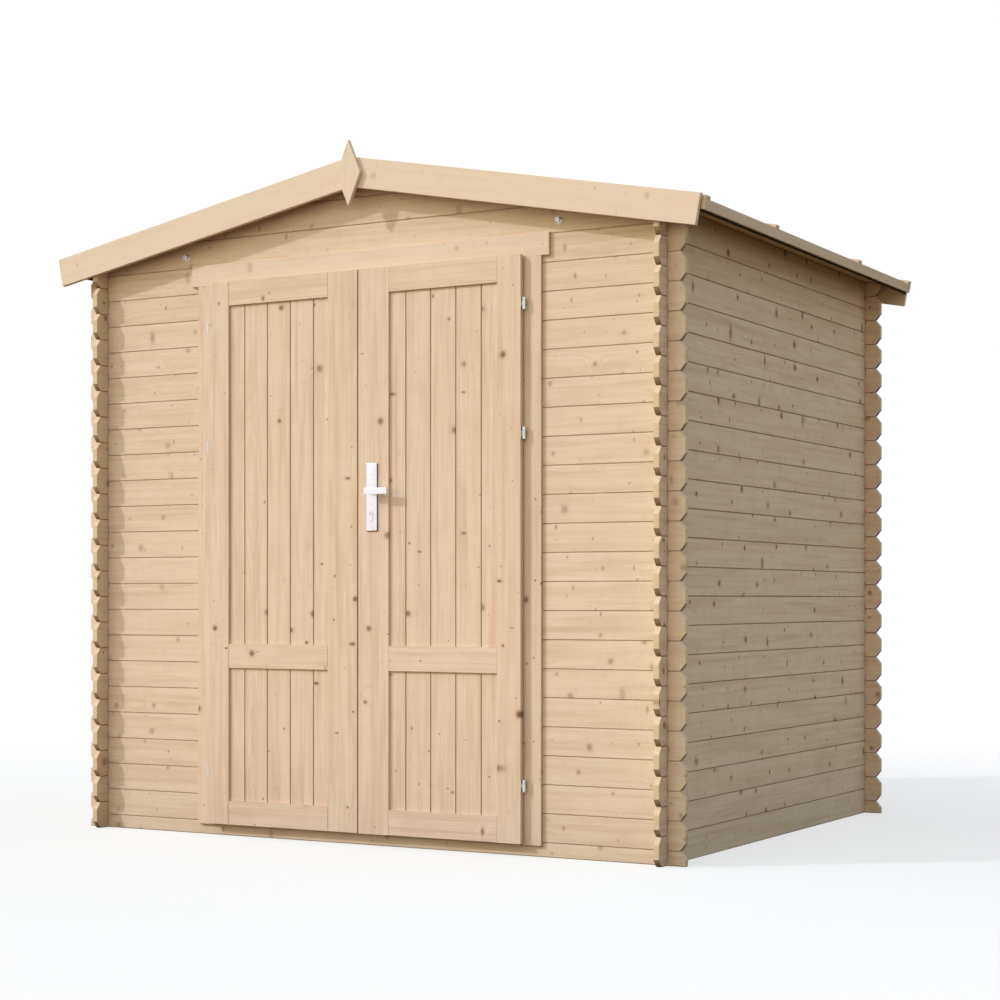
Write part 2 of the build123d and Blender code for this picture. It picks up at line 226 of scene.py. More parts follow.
class Graph:
    """The node tree of one material or of the world."""

    def __init__(self, tree):
        self.tree = tree
        tree.nodes.clear()

    def add(self, kind, settings=None, sockets=None):
        """A node of any kind: its settings first, then a number, colour or link for each named socket."""
        node = self.tree.nodes.new(kind)
        for name, setting in (settings or {}).items():
            setattr(node, name, setting)
        for name, given in (sockets or {}).items():
            socket = node.inputs[name]
            given = given.socket if isinstance(given, Value) else given
            if isinstance(given, bpy.types.NodeSocket):
                self.tree.links.new(given, socket)
            else:
                socket.default_value = given
        return node

    def value(self, node, output=0):
        return Value(self, node.outputs[output])

    def math(self, operation, *values):
        return self.value(self.add("ShaderNodeMath", {"operation": operation}, dict(enumerate(values))))

    def mix(self, factor, first, second, blend="MIX"):
        """Two colours mixed. Plain colours are given as three numbers."""
        first, second = ((*shade, 1) if isinstance(shade, (tuple, list)) else shade
                         for shade in (first, second))
        node = self.add("ShaderNodeMix", {"data_type": "RGBA", "blend_type": blend},
                        {0: factor, 6: first, 7: second})
        return node.outputs[2]

    def split(self, vector):
        node = self.add("ShaderNodeSeparateXYZ", None, {0: vector})
        return [self.value(node, axis) for axis in range(3)]

    def join(self, x, y, z):
        return self.add("ShaderNodeCombineXYZ", None, {0: x, 1: y, 2: z}).outputs[0]

    def attribute(self, name, output):
        return self.add("ShaderNodeAttribute", {"attribute_name": name}).outputs[output]

    def noise(self, vector, scale=1.0, detail=2.0):
        sockets = {"Vector": vector, "Scale": scale, "Detail": detail}
        return self.value(self.add("ShaderNodeTexNoise", None, sockets), "Fac")

    def ease(self, value, low, high):
        """0 below low, 1 above high and a smooth rise between. Low may be the larger one."""
        sockets = {"Value": value, "From Min": low, "From Max": high}
        return self.value(self.add("ShaderNodeMapRange", {"interpolation_type": "SMOOTHSTEP"}, sockets))

    def dice(self, x, y, salt):
        """Three random numbers that belong to one cell of a grid."""
        sockets = {"Vector": self.join(x, y, salt)}
        node = self.add("ShaderNodeTexWhiteNoise", {"noise_dimensions": "3D"}, sockets)
        return self.split(node.outputs["Color"])

    def bump(self, height, strength, distance):
        sockets = {"Height": height, "Strength": strength, "Distance": distance}
        return self.add("ShaderNodeBump", None, sockets).outputs[0]

    def surface(self, shader):
        self.add("ShaderNodeOutputMaterial", None, {"Surface": shader.outputs[0]})


def new_graph(name):
    material = bpy.data.materials.new(name)
    material.use_nodes = True
    return material, Graph(material.node_tree)


# Materials

def knot_field(graph, x, y, salt, cell, radius, share):
    """One knot or none to each cell: how far it is, 1 at its rim, its radius and how dark it is."""
    cell_length, cell_width = cell
    least, most = radius
    stagger, spread, nowhere = 0.37, 0.60, 60
    spike_from, spike_tall = 0.78, 1.1
    v = y / cell_width + salt
    row = graph.math("FLOOR", v)
    u = x / cell_length + row * stagger
    column = graph.math("FLOOR", u)
    aside, rise, chance = graph.dice(column, row, salt)
    girth, shape, dark = graph.dice(column, row, salt + 0.5)
    spike = shape > spike_from
    off_x = (u - column - 0.5 - (aside - 0.5) * spread) * cell_length
    off_y = (v - row - 0.5 - (rise - 0.5) * spread) / (1 + spike * spike_tall) * cell_width
    reach = least + girth * girth * (most - least)
    apart = (off_x * off_x + off_y * off_y) ** 0.5 / reach
    return apart + (chance > share) * nowhere, reach, dark


def pine(name, tint, knot_share):
    """Softwood: rings round a wandering pith, stains, and knots that the rings run round."""
    wood = bpy.context.scene.shed_wood
    material, graph = new_graph(name)
    x, y, z = graph.split(graph.attribute("grain", "Vector"))
    first, second, third = graph.split(graph.attribute("board", "Vector"))
    end, joint, pale = (Value(graph, graph.attribute(mark, "Fac")) for mark in ("end_grain", "joint", "pale"))
    board_shift, tree_shift = 20, 50

    def drawn_out(along, across, detail, shift=None):
        """Noise with so many waves to a metre along the grain and across it."""
        sideways = y * across
        if shift is not None:
            sideways = sideways + shift * board_shift
        return graph.noise(graph.join(x * along, sideways, z * across), 1.0, detail)

    def wander(pace, one, two):
        """A slow change along the board, to either side of 0, that differs from board to board."""
        return graph.noise(graph.join(x * pace, one * tree_shift, two * tree_shift), 1.0, 1.0) - 0.5

    ragged = drawn_out(along=45, across=60, detail=2.0) - 0.5
    fibre = drawn_out(along=5, across=420, detail=3.0)
    wave = drawn_out(along=7, across=30, detail=2.0) - 0.5
    streak = drawn_out(along=1.6, across=75, detail=3.0)
    smear = drawn_out(along=3.0, across=46, detail=3.0, shift=first)
    blush = drawn_out(along=4.5, across=20, detail=2.0, shift=second)
    chatter = drawn_out(along=18, across=7, detail=1.0, shift=third)

    knot_salt, small_knot_shift, small_knot_share = 9, 7.7, 0.85
    large, large_reach, large_dark = knot_field(
        graph, x, y, first * knot_salt, (0.18, 0.072), (0.0040, 0.0135), knot_share)
    small, small_reach, small_dark = knot_field(
        graph, x + small_knot_shift, y, second * knot_salt, (0.115, 0.052), (0.0016, 0.0038),
        knot_share * small_knot_share)
    large = large + ragged * 0.7
    small = small + ragged * 0.5
    push, fall = 1.3, -0.10
    swell = (large_reach * graph.math("EXPONENT", large * large * fall) * push
             + small_reach * graph.math("EXPONENT", small * small * fall))

    pith_aside, pith_drift, pith_depth, pith_deeper, pith_sway = 0.34, 0.06, 0.045, 0.10, 0.04
    ripple, least_ring, ring_spread = 0.0035, 0.75, 0.8
    aside = y + (first - 0.5) * pith_aside + wander(0.8, first, second) * pith_drift
    deep = z + pith_depth + second * pith_deeper + wander(1.3, second, third) * pith_sway
    radius = (aside * aside + deep * deep) ** 0.5 + swell + wave * ripple
    turns = radius / (wood.ring_width * (least_ring + third * ring_spread))
    phase = graph.math("FRACT", turns)
    late = graph.ease(phase, 0.25, 0.90) * graph.ease(phase, 1.0, 0.93)
    band = graph.noise(graph.join(turns * 0.45, first * 30, x * 0.6), 1.0, 2.0)

    tone = graph.mix(late * (0.12 + band * 0.30), tuple(wood.early_wood), tuple(wood.late_wood))
    stains = (
        (band, 0.46, 0.75, 0.22, wood.late_wood),
        (streak, 0.46, 0.76, 0.40, wood.heart_wood),
        (smear, 0.46, 0.72, 0.46, wood.heart_wood),
        (blush, 0.50, 0.72, 0.55, wood.pink_wood),
        (chatter, 0.40, 0.66, 0.10, wood.late_wood),
    )
    for field, none, full, strength, stain in stains:
        tone = graph.mix(graph.ease(field, none, full) * strength, tone, tuple(stain))
    board_tint = graph.mix(third, tuple(wood.yellow_board), tuple(wood.pink_board))
    for shade in (board_tint, tuple(tint)):
        tone = graph.mix(1.0, tone, shade, "MULTIPLY")
    tone = graph.mix(pale, tone, tuple(wood.pale_wood))

    bold = graph.math("MAXIMUM", 1 - pale * 4, 0.3)
    halo = graph.ease(large, 2.4, 0.9) * 0.42 + graph.ease(small, 2.2, 0.9) * 0.24
    knot = graph.mix(graph.ease(large, 0.40, 1.05), tuple(wood.knot), tuple(wood.knot_rim))
    core = graph.ease(large, 1.40, 0.45) * (0.64 + large_dark * 0.36) * bold
    dot = graph.ease(small, 1.30, 0.60) * (0.48 + small_dark * 0.48) * bold
    # The joint mark is partly dark wood and partly painted shade in joint depths and on the downward bevels of log
    # ends; on pale pieces, the sunlit front logs and trim, it is painted lighter
    marks = (
        (halo * bold, tuple(wood.knot_halo)), (core, knot), (dot, tuple(wood.knot)),
        (end * 0.55, tuple(wood.end_wood)), (joint * (1 - pale * 2.5) * 0.95, tuple(wood.painted_joint_shade)),
    )
    for share, shade in marks:
        tone = graph.mix(share, tone, shade)

    rough = 0.60 + fibre * 0.16 + end * 0.10 - core * 0.10
    height = fibre * 0.55 + late * 0.25 - core * 0.4 + ragged * core * 0.8
    relief, relief_depth = 0.30, 0.0006
    shader = graph.add("ShaderNodeBsdfPrincipled", None, {
        "Base Color": tone, "Roughness": rough, "Specular IOR Level": 0.0,
        "Normal": graph.bump(height, relief, relief_depth)})
    graph.surface(shader)
    return material


def felt(name):
    """Bitumen felt with slate granules pressed in."""
    roofing = bpy.context.scene.shed_roofing
    material, graph = new_graph(name)
    place = graph.add("ShaderNodeTexCoord").outputs["Object"]
    granules_a_metre, patches_a_metre = 520.0, 3.2
    grain = graph.add("ShaderNodeTexVoronoi", None, {"Vector": place, "Scale": granules_a_metre})
    speck, shade, _ = graph.split(grain.outputs["Color"])
    patch = graph.noise(place, patches_a_metre, 4.0)
    cover = graph.ease(speck + patch * 0.6, 0.45, 1.05)
    tone = graph.mix(cover * (0.45 + shade * 0.55), tuple(roofing.felt), tuple(roofing.granule))
    height = graph.value(grain, "Distance") * -1 + speck * 0.5
    shader = graph.add("ShaderNodeBsdfPrincipled", None, {
        "Base Color": tone, "Roughness": 0.80 + speck * 0.15, "Specular IOR Level": 0.0,
        "Normal": graph.bump(height, 0.6, 0.0008)})
    graph.surface(shader)
    return material


def metal(name, tone, rough, dull=0.82, metallic=1.0):
    """Bare or plated metal with a fine satin and faint handling marks."""
    material, graph = new_graph(name)
    place = graph.add("ShaderNodeTexCoord").outputs["Object"]
    satin_a_metre, marks_a_metre = 900.0, 60.0
    satin = graph.noise(place, satin_a_metre, 2.0)
    marks = graph.noise(place, marks_a_metre, 4.0)
    worn = graph.mix(graph.ease(marks, 0.45, 0.75) * 0.6, tuple(tone), tuple(part * dull for part in tone))
    shader = graph.add("ShaderNodeBsdfPrincipled", None, {
        "Base Color": worn, "Metallic": metallic, "Roughness": rough + marks * 0.10 + satin * 0.05,
        "Normal": graph.bump(satin, 0.08, 0.0002)})
    graph.surface(shader)
    return material


def finish(slot):
    """The material of one slot of the record, made when it is first asked for."""
    name = f"shed_{slot}"
    if name in bpy.data.materials:
        return bpy.data.materials[name]
    tones = bpy.context.scene.shed_metal
    makers = {
        "log_pine": lambda: pine(name, (0.955, 0.947, 0.96), 0.70),
        "planed_pine": lambda: pine(name, (0.965, 0.945, 0.98), 0.28),
        "roof_pine": lambda: pine(name, (0.92, 0.84, 0.72), 0.60),
        "roofing_felt": lambda: felt(name),
        "zinc_steel": lambda: metal(name, tones.zinc, 0.28, 0.90),
        "satin_aluminium": lambda: metal(name, tones.aluminium, 0.14, 0.88),
        "nail_steel": lambda: metal(name, tones.nail, 0.55, 0.82, 0.5),
        # Dark metal that paints shade in the key slot, round the lock cylinder and under the handle's plate
        "key_slot": lambda: metal(name, tones.key_slot, 0.55),
    }
    return makers[slot]()


# Meshes

def body_of(node):
    for body, nodes in frame["record"]["behaviour"]["bodies"].items():
        if node in nodes:
            return body
    raise ValueError(f"no body holds {node}")


def slot_of(node):
    for part in frame["record"]["subparts"]:
        if part["node"] == node:
            return part["material_slot"]
    raise ValueError(f"no slot is given for {node}")


def add_piece(name, mesh, material, body, replaced=(), smooth=False):
    """An object from a finished mesh, which rides on a body and may stand for CAD nodes."""
    bmesh.ops.recalc_face_normals(mesh, faces=mesh.faces)
    data = bpy.data.meshes.new(name)
    mesh.to_mesh(data)
    mesh.free()
    if smooth:
        data.shade_smooth()
        data.set_sharp_from_angle(angle=SMOOTH)
    data.materials.append(finish(material))
    piece = bpy.data.objects.new(name, data)
    bpy.context.scene.collection.objects.link(piece)
    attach(piece, body)
    if replaced:
        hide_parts(*replaced)
    return piece


def cad_solids(node):
    """The solids of a CAD node, with each flat face in one piece."""
    mesh = bmesh.new()
    data = frame["nodes"][node].data
    verts = [mesh.verts.new(vert.co) for vert in data.vertices]
    for polygon in data.polygons:
        mesh.faces.new([verts[corner] for corner in polygon.vertices])
    bmesh.ops.remove_doubles(mesh, verts=mesh.verts, dist=WELD)
    bmesh.ops.dissolve_limit(mesh, angle_limit=FLAT, verts=mesh.verts, edges=mesh.edges)
    return mesh


def add_prism(mesh, outline, sweep):
    """A closed outline of points moved along a vector."""
    near = [mesh.verts.new(point) for point in outline]
    far = [mesh.verts.new(point + sweep) for point in outline]
    mesh.faces.new(reversed(near))
    mesh.faces.new(far)
    for here in range(len(outline)):
        after = (here + 1) % len(outline)
        mesh.faces.new((near[here], near[after], far[after], far[here]))


def add_turned(mesh, foot, axis, profile, sides=16):
    """A turned solid: rings of (radius, height) about an axis, closed at both ends."""
    across = axis.orthogonal().normalized()
    other = axis.cross(across)
    rings = []
    for radius, height in profile:
        ring = []
        for step in range(sides):
            angle = math.tau * step / sides
            spoke = across * math.cos(angle) + other * math.sin(angle)
            ring.append(mesh.verts.new(foot + axis * height + spoke * radius))
        rings.append(ring)
    for lower, upper in zip(rings, rings[1:]):
        for here in range(sides):
            after = (here + 1) % sides
            mesh.faces.new((lower[here], lower[after], upper[after], upper[here]))
    mesh.faces.new(reversed(rings[0]))
    mesh.faces.new(rings[-1])


def boards_of(mesh):
    """Vertices of each separate board of a mesh."""
    groups = []
    seen = set()
    for start in mesh.verts:
        if start in seen:
            continue
        seen.add(start)
        group = [start]
        for vert in group:
            for edge in vert.link_edges:
                near = edge.other_vert(vert)
                if near not in seen:
                    seen.add(near)
                    group.append(near)
        groups.append(group)
    return groups


def bevel(mesh, edges, width, segments=1):
    if edges:
        bmesh.ops.bevel(mesh, geom=edges, offset=width, offset_type="OFFSET", segments=segments, profile=0.5,
                        affect="EDGES", clamp_overlap=True)


def faces_turn(edge, first, second):
    """Whether one face of an edge looks along the first axis and the other along the second."""
    if len(edge.link_faces) != 2:
        return False
    one, two = (face.normal for face in edge.link_faces)
    straight = 0.98
    return (abs(one.dot(first)) > straight and abs(two.dot(second)) > straight
            or abs(two.dot(first)) > straight and abs(one.dot(second)) > straight)


def notch_edges(mesh, along, through):
    """Edges of the notches where boards cross, well inside each board's ends."""
    edges = []
    for group in boards_of(mesh):
        reaches = [vert.co.dot(along) for vert in group]
        low, high = min(reaches) + END_ZONE, max(reaches) - END_ZONE
        for edge in {edge for vert in group for edge in vert.link_edges}:
            middle = (edge.verts[0].co + edge.verts[1].co).dot(along) / 2
            if low < middle < high and faces_turn(edge, along, through):
                edges.append(edge)
    return edges


def ease_boards(mesh, along, across, joint, notch):
    """Bevels the long edges where boards meet and those of notches, then eases every other sharp edge."""
    through = along.cross(across)
    mesh.normal_update()
    if notch:
        bevel(mesh, notch_edges(mesh, along, through), notch)
        mesh.normal_update()
    if joint:
        bevel(mesh, [edge for edge in mesh.edges if faces_turn(edge, through, across)], joint)
        mesh.normal_update()
    sharp = [edge for edge in mesh.edges
             if len(edge.link_faces) == 2 and edge.calc_face_angle(0) > SHARP]
    bevel(mesh, sharp, bpy.context.scene.shed_wood.eased_edge)


def mark_grain(mesh, along, across, chance, paleness):
    """Gives each board its own place in its tree, and marks end grain, paleness, the depth of joints for painted
    joint shade, and painted shade on the downward bevels of log ends.
    """
    through = along.cross(across)
    grain = mesh.verts.layers.float_vector.new("grain")
    board = mesh.verts.layers.float_vector.new("board")
    pale = mesh.verts.layers.float.new("pale")
    end_grain = mesh.faces.layers.float.new("end_grain")
    joint = mesh.loops.layers.float.new("joint")
    room = 40.0
    slanted = 0.4
    mesh.normal_update()
    for group in boards_of(mesh):
        places = [Vector((vert.co.dot(along), vert.co.dot(across), vert.co.dot(through))) for vert in group]
        low = Vector(map(min, *places))
        high = Vector(map(max, *places))
        middle = (low + high) / 2
        half_thick = (high.z - low.z) / 2
        shift = Vector((chance.uniform(0, room), 0, 0))
        flip = chance.choice((-1, 1))
        kind = Vector((chance.random(), chance.random(), chance.random()))
        for vert, place in zip(group, places):
            local = place - middle
            vert[grain] = Vector((local.x, local.y, local.z * flip)) + shift
            vert[board] = kind
            vert[pale] = paleness
        for face in {face for vert in group for face in vert.link_faces}:
            face[end_grain] = face.normal.dot(along) ** 2
            reach = face.calc_center_median().dot(along)
            inside = low.x + END_ZONE < reach < high.x - END_ZONE
            crossing = abs(face.normal.dot(along)) * inside
            turn = max(abs(face.normal.dot(across)), crossing)
            # Share of the painted joint shade on this face: full at notches, less on long joints
            shade = 1.0 if crossing > slanted else LONG_JOINT
            if turn > slanted and abs(face.normal.dot(through)) > slanted:
                depths = [half_thick - abs(loop.vert.co.dot(through) - middle.z) for loop in face.loops]
                deepest = max(depths)
                for loop, depth in zip(face.loops, depths):
                    loop[joint] = shade * depth / deepest if deepest > WELD else 0
            # Painted shade on the downward-facing bevels of log ends: a light share at the tip, full shade further
            # in
            elif abs(face.normal.dot(along)) > slanted and face.normal.z < -slanted:
                for loop in face.loops:
                    reach = loop.vert.co.dot(along)
                    inward = min(reach - low.x, high.x - reach, END_ZONE) / END_ZONE
                    loop[joint] = PAINTED_BEVEL_SHADE + (1 - PAINTED_BEVEL_SHADE) * inward


def dress(node, mesh, along, across, joint=0.0, notch=0.0, paleness=0.0):
    """Finished boards in place of a CAD node."""
    ease_boards(mesh, along, across, joint, notch)
    mark_grain(mesh, along, across, random.Random(node), paleness)
    slot = slot_of(node)
    return add_piece(f"{node}.wood", mesh, slot, body_of(node), (node,))


def slope_of(side):
    """The ridge point under a slope's deck, the way down the slope, and the way out of it."""
    mesh = frame["nodes"][f"{side}_roof_deck"].data
    lowest = min(mesh.vertices, key=lambda vert: vert.co.z).co
    outermost_low = Vector((lowest.x, 0, lowest.z))
    at_ridge = [vert.co.z for vert in mesh.vertices if abs(vert.co.x) < WELD]
    ridge = Vector((0, 0, min(at_ridge)))
    down = (outermost_low - ridge).normalized()
    out = Vector((-down.z * SIGN[side], 0, abs(down.x)))
    return ridge, down, out


def log_nodes():
    return [node for node in frame["nodes"] if slot_of(node) == "log_pine"]


# Operators, one for each group of pieces

class SHED_OT_log_walls(bpy.types.Operator):
    """Dresses every log of the walls and gables"""
    bl_idname = "shed.log_walls"
    bl_label = "Log walls"

    # The front logs' paleness also makes their painted joint shade lighter, as the sun falls on that wall
    front_paleness = 0.12

    def execute(self, context):
        wood = context.scene.shed_wood
        for node in log_nodes():
            along = BACK if node.startswith(("left_wall", "right_wall")) else RIGHT
            paleness = self.front_paleness if node.startswith("front") else 0
            dress(node, cad_solids(node), along, UP, wood.log_joint, wood.notch_joint, paleness)
        return {"FINISHED"}


class SHED_OT_door_frame(bpy.types.Operator):
    """Dresses the jambs and the header of the doorway"""
    bl_idname = "shed.door_frame"
    bl_label = "Door frame"

    header_paleness = 0.45

    def execute(self, context):
        for side in SIDES:
            node = f"{side}_jamb"
            dress(node, cad_solids(node), UP, RIGHT)
        dress("door_header", cad_solids("door_header"), RIGHT, UP, paleness=self.header_paleness)
        return {"FINISHED"}


class SHED_OT_roof_beams(bpy.types.Operator):
    """Dresses the purlins under the roof"""
    bl_idname = "shed.roof_beams"
    bl_label = "Roof beams"

    def execute(self, context):
        for node in ("ridge_purlin", "side_purlins"):
            dress(node, cad_solids(node), BACK, UP)
        return {"FINISHED"}


class SHED_OT_roof_deck(bpy.types.Operator):
    """Lays tongued boards from the ridge to the eaves on both slopes"""
    bl_idname = "shed.roof_deck"
    bl_label = "Roof deck"

    def execute(self, context):
        wood = context.scene.shed_wood
        for side in SIDES:
            node = f"{side}_roof_deck"
            low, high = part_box(node)
            solids = cad_solids(node)
            ends = [vert.co.copy() for vert in solids.verts if vert.co.y - low.y < WELD]
            solids.free()
            middle = sum(ends, Vector()) / len(ends)
            outline = sorted((Vector((end.x, 0, end.z)) for end in ends),
                             key=lambda end: math.atan2(end.z - middle.z, end.x - middle.x))
            count = round((high.y - low.y) / wood.deck_board)
            width = (high.y - low.y) / count
            mesh = bmesh.new()
            for board in range(count):
                start = BACK * (low.y + board * width)
                add_prism(mesh, [point + start for point in outline], BACK * width)
            bmesh.ops.recalc_face_normals(mesh, faces=mesh.faces)
            _, down, _ = slope_of(side)
            dress(node, mesh, down, BACK, wood.log_joint)
        return {"FINISHED"}


class SHED_OT_roof_felt(bpy.types.Operator):
    """Covers the deck with felt, an upper course lapped over it and a cap on the ridge"""
    bl_idname = "shed.roof_felt"
    bl_label = "Roof felt"

    def execute(self, context):
        roofing = context.scene.shed_roofing
        for side in SIDES:
            node = f"{side}_roof_felt"
            low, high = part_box(node)
            ridge, down, out = slope_of(side)
            top = max((vert.co - ridge).dot(out) for vert in frame["nodes"][node].data.vertices)
            mesh = cad_solids(node)
            for layer, reach in enumerate((roofing.course, roofing.ridge_cap)):
                foot = top + layer * roofing.sheet
                head = foot + roofing.sheet
                lean = -down.z / abs(down.x)
                outline = [ridge + down * (-lean * foot) + out * foot, ridge + down * reach + out * foot,
                           ridge + down * reach + out * head, ridge + down * (-lean * head) + out * head]
                add_prism(mesh, [point + BACK * low.y for point in outline], BACK * (high.y - low.y))
            add_piece(f"{node}.sheets", mesh, "roofing_felt", "shed", (node,))
        return {"FINISHED"}


class SHED_OT_roof_trim(bpy.types.Operator):
    """Dresses the bargeboards, finials, eaves strips and felt battens"""
    bl_idname = "shed.roof_trim"
    bl_label = "Roof trim"

    barge_paleness = 0.6
    strip_paleness = 0.2

    def execute(self, context):
        for side in SIDES:
            _, down, out = slope_of(side)
            for node in (f"{side}_front_barge", f"{side}_back_barge"):
                dress(node, cad_solids(node), down, out, paleness=self.barge_paleness)
            battens = f"{side}_felt_battens"
            dress(battens, cad_solids(battens), down, BACK)
            strip = f"{side}_eaves_strip"
            dress(strip, cad_solids(strip), BACK, out, paleness=self.strip_paleness)
        for node in ("front_finial", "back_finial"):
            dress(node, cad_solids(node), UP, RIGHT, paleness=self.barge_paleness)
        return {"FINISHED"}


class SHED_OT_doors(bpy.types.Operator):
    """Dresses stiles and rails and sets separate boards in both doors"""
    bl_idname = "shed.doors"
    bl_label = "Doors"

    board_count = 5
    board_width = 0.091

    def execute(self, context):
        wood = context.scene.shed_wood
        for side in SIDES:
            stiles = f"{side}_door_stiles"
            dress(stiles, cad_solids(stiles), UP, RIGHT)
            rails = f"{side}_door_rails"
            dress(rails, cad_solids(rails), RIGHT, UP)
            node = f"{side}_door_boards"
            low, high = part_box(node)
            middle = (low.x + high.x) / 2
            first = middle - self.board_width * (self.board_count - 2) / 2
            joints = [first + joint * self.board_width for joint in range(self.board_count - 1)]
            edges = [low.x, *joints, high.x]
            mesh = bmesh.new()
            for left, right in zip(edges, edges[1:]):
                outline = [Vector((left, low.y, low.z)), Vector((right, low.y, low.z)),
                           Vector((right, high.y, low.z)), Vector((left, high.y, low.z))]
                add_prism(mesh, outline, UP * (high.z - low.z))
            bmesh.ops.recalc_face_normals(mesh, faces=mesh.faces)
            dress(node, mesh, UP, RIGHT, wood.board_joint)
        return {"FINISHED"}


class SHED_OT_hinges(bpy.types.Operator):
    """Finishes the hinges as zinc-plated steel with softened edges"""
    bl_idname = "shed.hinges"
    bl_label = "Hinges"

    edge = 0.0003

    def execute(self, context):
        for side in SIDES:
            for node in (f"{side}_jamb_hinges", f"{side}_door_hinges"):
                piece = frame["nodes"][node]
                piece.data.materials.clear()
                piece.data.materials.append(finish("zinc_steel"))
                softened = piece.modifiers.new("softened edges", "BEVEL")
                softened.width = self.edge
                softened.segments = 2
                softened.limit_method = "ANGLE"
                softened.angle_limit = SHARP
        return {"FINISHED"}


def rounded_outline(half_width, half_height, corner, steps=6):
    """Corners of a rounded rectangle, as offsets across and up."""
    points = []
    for turn, (right, up) in enumerate(((1, 1), (-1, 1), (-1, -1), (1, -1))):
        for step in range(steps + 1):
            angle = math.radians(90) * (turn + step / steps)
            points.append((right * (half_width - corner) + corner * math.cos(angle),
                           up * (half_height - corner) + corner * math.sin(angle)))
    return points


